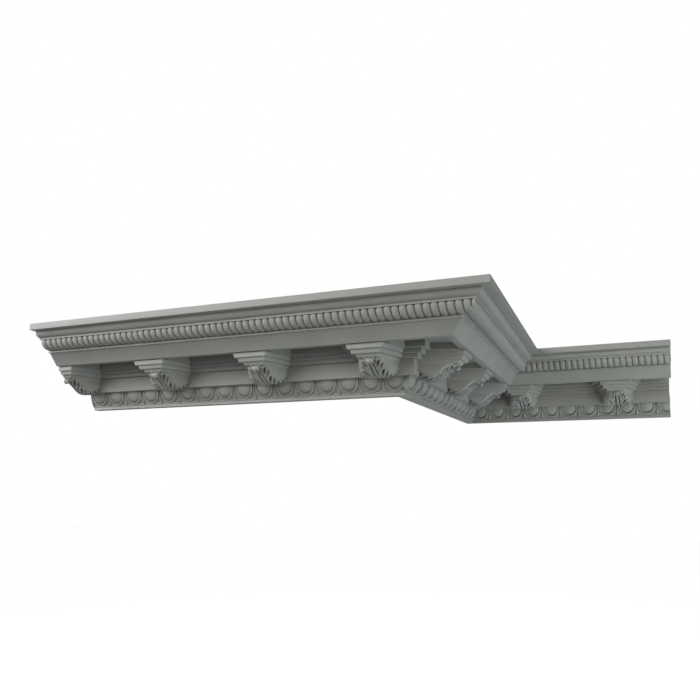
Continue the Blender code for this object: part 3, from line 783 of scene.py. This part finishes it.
def body_mesh():
    flank, middle = catmull(FLANK, ALONG), catmull(MIDDLE, ALONG)
    t = np.sin(np.linspace(-math.pi / 2, math.pi / 2, ACROSS))[:, None]
    blend = np.sqrt(np.clip(1 - t**2, 0, 1))[..., None]
    section = flank[None] + (middle - flank)[None] * blend
    half = STEP_3[1][1] - SET_IN + SPLAY * (LIP_OUT - STEP_3[0][1] - section[..., 0])
    grid = np.stack([half * t, -section[..., 0], section[..., 1]], axis=-1)
    normal = np.cross(np.gradient(grid, axis=0), np.gradient(grid, axis=1))
    normal /= np.linalg.norm(normal, axis=-1, keepdims=True)
    if normal[ACROSS // 2, ALONG // 2, 2] > 0:
        normal = -normal
    v = np.linspace(0, 1, ALONG)[None, :]
    relief, hollow = leaf_relief(t - STEM_SHIFT * np.sqrt(1 - t**2), v)
    fade = ramp_up(v, LEAF_ROOT - ROOT_FADE, LEAF_ROOT + ROOT_FADE)
    fade = fade * ramp_up(LEAF_TIP + TIP_PAST - v, 0, TIP_FADE)
    grid = grid + normal * (relief * fade)[..., None]
    in_frieze = (grid[..., 2] > BAND_TOP_UP - GAP) & (-grid[..., 1] < FRIEZE_OUT + GAP)
    grid[..., 1] = np.where(in_frieze, -FRIEZE_OUT - GAP, grid[..., 1])
    top = grid[:, [ALONG - 1, 0]].copy()
    top[..., 0] = half[:, [ALONG - 1, 0]] * t
    top[..., 2] = FRIEZE_TOP - 2 * GAP
    hollow = np.concatenate([hollow * fade, np.zeros((ACROSS, 2))], axis=1)
    return sweep(np.concatenate([grid, top], axis=1), hollow)


body = body_mesh()
print("body:", len(body.faces), "faces")

# %% [markdown]
# The roll that ends the scroll is a little drum across the front, fullest at its middle, with a
# bead at each end and a dished eye inside the bead. A turned profile is the plainest way to it:
# each point is (along the roll, radius), as shares of its half length and of its full radius.

# %% Roll
ROLL_OUT, ROLL_UP, ROLL_RADIUS, ROLL_HALF, ROLL_SIDES = 0.1765, 0.0852, 0.0095, 0.0122, 40
ROLL_SHIFT = 0.004
ROLL_END = [(-0.62, 0.02), (-0.70, 0.34), (-0.95, 0.52), (-1.0, 0.66), (-0.95, 0.80)]
ROLL_DRUM = [(-0.80, 0.84), (-0.68, 0.78), (-0.52, 0.90), (-0.28, 0.97), (0.0, 1.0)]


def roll_mesh():
    profile = ROLL_END + ROLL_DRUM
    profile += [(-x, r) for x, r in profile[-2::-1]]
    around = np.linspace(0, 2 * math.pi, ROLL_SIDES, endpoint=False)
    rings = np.zeros((len(profile), ROLL_SIDES, 3))
    for ring, (x, r) in zip(rings, profile):
        ring[:, 0] = x * ROLL_HALF + ROLL_SHIFT
        ring[:, 1] = -ROLL_OUT + r * ROLL_RADIUS * np.cos(around)
        ring[:, 2] = ROLL_UP + r * ROLL_RADIUS * np.sin(around)
    return sweep(rings)


roll = roll_mesh()
print("roll:", len(roll.faces), "faces")

# %% [markdown]
# Real modillions are cast from one mould and planted under each bay, so each of the three parts is
# made once and copied to its place. Three of the nine are sawn, at the square end and at the inside
# mitre. Their parts overlap, so each is sawn a little further in than the last: two cut faces in
# one plane would show as a black patch.

# %% Modillions in place
SAWN_BACK = {"cap": SAWN_OFF, "body": 0.0002, "roll": 0.0004}
SAWN_MODILLIONS = {("left", 0): -1, ("return", 2): 1, ("right", 0): -1}

for part, pattern in {"cap": cap, "body": body, "roll": roll}.items():
    kept = bpy.data.meshes.new(f"pattern_{part}")
    pattern.to_mesh(kept)
    pattern.free()
    for wall, centres in CENTRES.items():
        for i, centre in enumerate(centres):
            bm = bmesh.new()
            bm.from_mesh(kept)
            bmesh.ops.translate(bm, verts=bm.verts[:], vec=(centre, 0, 0))
            side = SAWN_MODILLIONS.get((wall, i))
            if side:
                along, turn = WALLS[wall][2 if side < 0 else 3]
                saw(bm, along, turn, side, SAWN_BACK[part])
            obj = add_object(f"modillion_{wall}_{i + 1}_{part}", bm, wall_matrix(wall))
            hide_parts(f"modillion_{wall}_{i + 1}")
    print(part, triangles(obj), "triangles each")

# %% [markdown]
# Soft panels in a ring light the cornice: two strong ones at the front left, two weak ones at the
# front right, and two low and close on the right, which light the return and fade along the front.
# Each is set by its direction from the cornice, in degrees, its distance, its watts and its colour,
# and the camera doesn't see it.

# %% Light panels
PANEL = 1.8
RING_CENTRE = Vector((0.2, 0.2, 0))
PANELS = {
    "key": (-30, 15, 4.5, 166, "#FFFFFF"),
    "left": (-60, 15, 3.5, 98, "#FFF6FF"),
    "front_right": (30, 12, 4.5, 58, "#FCFFF8"),
    "right": (60, 8, 4.5, 40, "#FCF6FF"),
    "side_below": (90, -32, 2.6, 36, "#FBFFFA"),
    "side_back": (115, -25, 2.6, 11, "#D4ECFF"),
}


def panel_light(name, azimuth, elevation, distance, watts, colour):
    data = bpy.data.lights.new(name, "AREA")
    data.size = PANEL
    data.energy = watts
    data.color = linear(colour)[:3]
    light = bpy.data.objects.new(name, data)
    azimuth, elevation = math.radians(azimuth), math.radians(elevation)
    away = Vector((math.sin(azimuth), -math.cos(azimuth), math.tan(elevation))).normalized()
    light.location = RING_CENTRE + distance * away
    light.rotation_euler = away.to_track_quat("Z", "Y").to_euler()
    light.visible_camera = False
    bpy.context.scene.collection.objects.link(light)


for name, panel in PANELS.items():
    panel_light(name, *panel)
print(len(PANELS), "light panels,", sum(panel[3] for panel in PANELS.values()), "watts")

# %% [markdown]
# The floor, far below, is a white-painted board. It glows a little, so that it is nearly as pale as
# the surround, and only shows: the surround's lower half does its lighting.

# %% Floor
FLOOR_DOWN, FLOOR_HALF, FLOOR_ROUGHNESS, FLOOR_GLOW = 2.6, 30.0, 0.9, 0.97

floor_paint = bpy.data.materials.new("white_painted_floor")
floor_paint.use_nodes = True
floor_shader = floor_paint.node_tree.nodes["Principled BSDF"]
floor_shader.inputs["Base Color"].default_value = linear("#F2F2F0")
floor_shader.inputs["Roughness"].default_value = FLOOR_ROUGHNESS
floor_shader.inputs["Emission Color"].default_value = linear("#FFFFFF")
floor_shader.inputs["Emission Strength"].default_value = FLOOR_GLOW
floor_bm = bmesh.new()
bmesh.ops.create_grid(floor_bm, x_segments=1, y_segments=1, size=FLOOR_HALF)
floor = plain_object("floor", floor_bm)
floor.location = (0, 0, -FLOOR_DOWN)
floor.data.materials.append(floor_paint)
floor.visible_diffuse = floor.visible_glossy = floor.visible_shadow = False
print("floor", 2 * FLOOR_HALF, "m across")

# %% [markdown]
# The surround is plain white to the camera. As light, it glows round the horizon, less on the right
# and from below, and is dark overhead, so that the hollows stay dark. Three ranges of direction are
# multiplied: an axis, the two heights or sides between which the glow changes, and its two levels.

# %% Surround
GLOW = [("Z", -0.40, -0.16, 0.37, 1.0), ("Z", 0.02, 0.20, 1.0, 0.0), ("X", -0.20, 0.60, 1.0, 0.22)]

world = bpy.data.worlds.new("studio")
bpy.context.scene.world = world
world.use_nodes = True
tree = world.node_tree
place = node(tree, "ShaderNodeTexCoord").outputs["Generated"]
toward = node(tree, "ShaderNodeSeparateXYZ", links={"Vector": place}).outputs
glow = 1.0
for axis, *limits in GLOW:
    values = dict(zip(("From Min", "From Max", "To Min", "To Max"), limits))
    level = node(tree, "ShaderNodeMapRange", links={"Value": toward[axis], **values})
    product = {0: level.outputs["Result"], 1: glow}
    glow = node(tree, "ShaderNodeMath", {"operation": "MULTIPLY"}, product).outputs[0]
white = linear("#FFFFFF")
to_eye = node(tree, "ShaderNodeBackground", links={"Color": white, "Strength": 1.0})
to_paint = node(tree, "ShaderNodeBackground", links={"Color": white, "Strength": glow})
ray = node(tree, "ShaderNodeLightPath")
surround = node(
    tree,
    "ShaderNodeMixShader",
    links={0: ray.outputs["Is Camera Ray"], 1: to_paint.outputs[0], 2: to_eye.outputs[0]},
)
tree.links.new(surround.outputs[0], tree.nodes["World Output"].inputs["Surface"])
bpy.context.scene.view_settings.view_transform = "Standard"
print("surround of", len(tree.nodes), "nodes")
